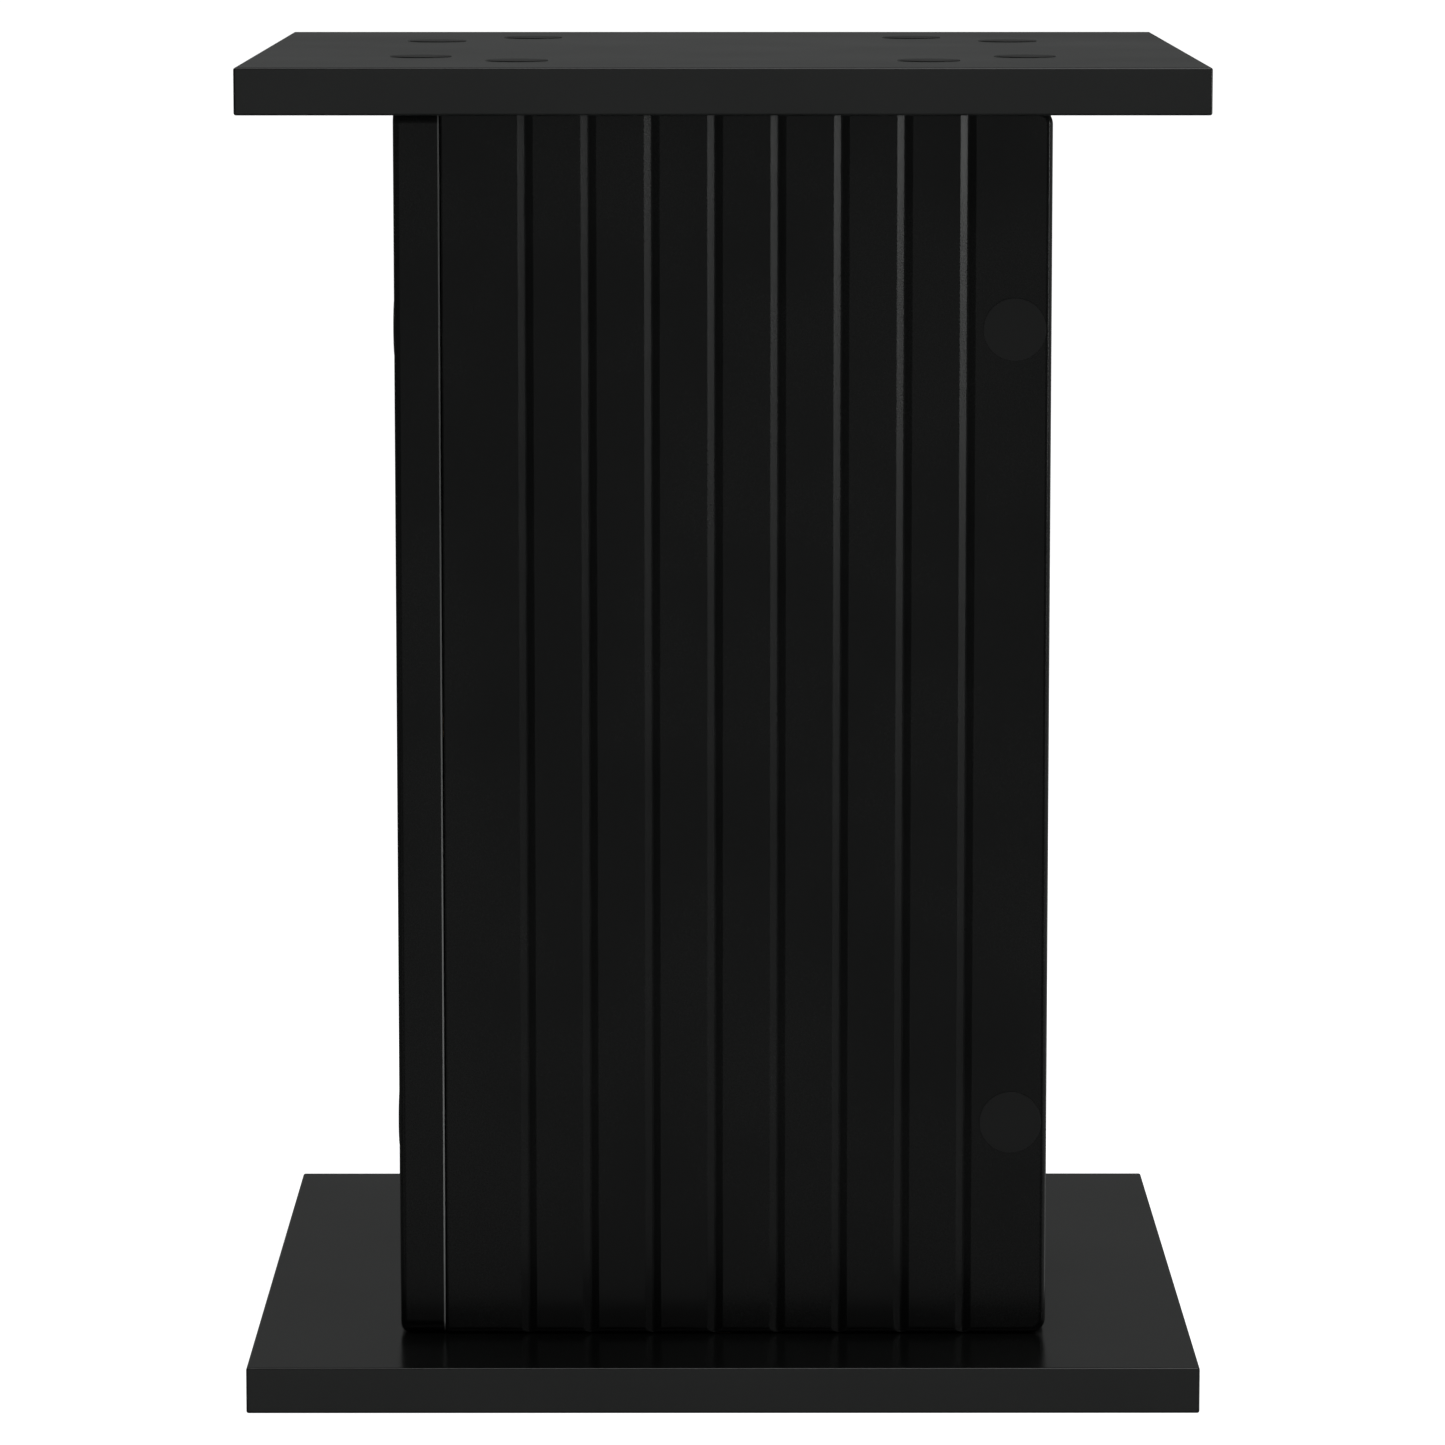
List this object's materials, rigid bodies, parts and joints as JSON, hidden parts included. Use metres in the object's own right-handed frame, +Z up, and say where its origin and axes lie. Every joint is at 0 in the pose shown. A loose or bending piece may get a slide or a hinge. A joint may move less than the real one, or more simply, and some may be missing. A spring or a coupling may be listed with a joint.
{
  "type": "display plinth",
  "caption": "Square display plinth in black foil-faced board: overhanging top and base plates on a hollow square column of V-grooved panels, with round cover caps over its screws.",
  "frame": {"origin": "middle of the base plate's underside, on the floor", "axes": "+Z up, -Y out of the front panel, +X to the right seen from the front"},
  "size_m": [0.32, 0.32, 0.4502],
  "materials": {
    "foil_board": "engineered board wrapped in black satin foil with a faint fine-grained texture",
    "cover_cap": "thin black satin plastic film, self-adhesive",
    "zinc_screw": "bright zinc plating",
    "beech_dowel": "raw turned beech"
  },
  "bodies": {
    "root": {"top_plate": "foil_board", "base_plate": "foil_board", "front_panel": "foil_board", "right_panel": "foil_board", "back_panel": "foil_board", "left_panel": "foil_board", "column_screw_front_lower": "zinc_screw", "column_cap_front_lower": "cover_cap", "column_screw_front_upper": "zinc_screw", "column_cap_front_upper": "cover_cap", "top_screw_front_a": "zinc_screw", "top_cap_front_a": "cover_cap", "base_screw_front_a": "zinc_screw", "top_screw_front_b": "zinc_screw", "top_cap_front_b": "cover_cap", "base_screw_front_b": "zinc_screw", "end_dowel_front_top": "beech_dowel", "end_dowel_front_base": "beech_dowel", "corner_dowel_front": "beech_dowel", "column_screw_right_lower": "zinc_screw", "column_cap_right_lower": "cover_cap", "column_screw_right_upper": "zinc_screw", "column_cap_right_upper": "cover_cap", "top_screw_right_a": "zinc_screw", "top_cap_right_a": "cover_cap", "base_screw_right_a": "zinc_screw", "top_screw_right_b": "zinc_screw", "top_cap_right_b": "cover_cap", "base_screw_right_b": "zinc_screw", "end_dowel_right_top": "beech_dowel", "end_dowel_right_base": "beech_dowel", "corner_dowel_right": "beech_dowel", "column_screw_back_lower": "zinc_screw", "column_cap_back_lower": "cover_cap", "column_screw_back_upper": "zinc_screw", "column_cap_back_upper": "cover_cap", "top_screw_back_a": "zinc_screw", "top_cap_back_a": "cover_cap", "base_screw_back_a": "zinc_screw", "top_screw_back_b": "zinc_screw", "top_cap_back_b": "cover_cap", "base_screw_back_b": "zinc_screw", "end_dowel_back_top": "beech_dowel", "end_dowel_back_base": "beech_dowel", "corner_dowel_back": "beech_dowel", "column_screw_left_lower": "zinc_screw", "column_cap_left_lower": "cover_cap", "column_screw_left_upper": "zinc_screw", "column_cap_left_upper": "cover_cap", "top_screw_left_a": "zinc_screw", "top_cap_left_a": "cover_cap", "base_screw_left_a": "zinc_screw", "top_screw_left_b": "zinc_screw", "top_cap_left_b": "cover_cap", "base_screw_left_b": "zinc_screw", "end_dowel_left_top": "beech_dowel", "end_dowel_left_base": "beech_dowel", "corner_dowel_left": "beech_dowel"}
  },
  "joints": []
}
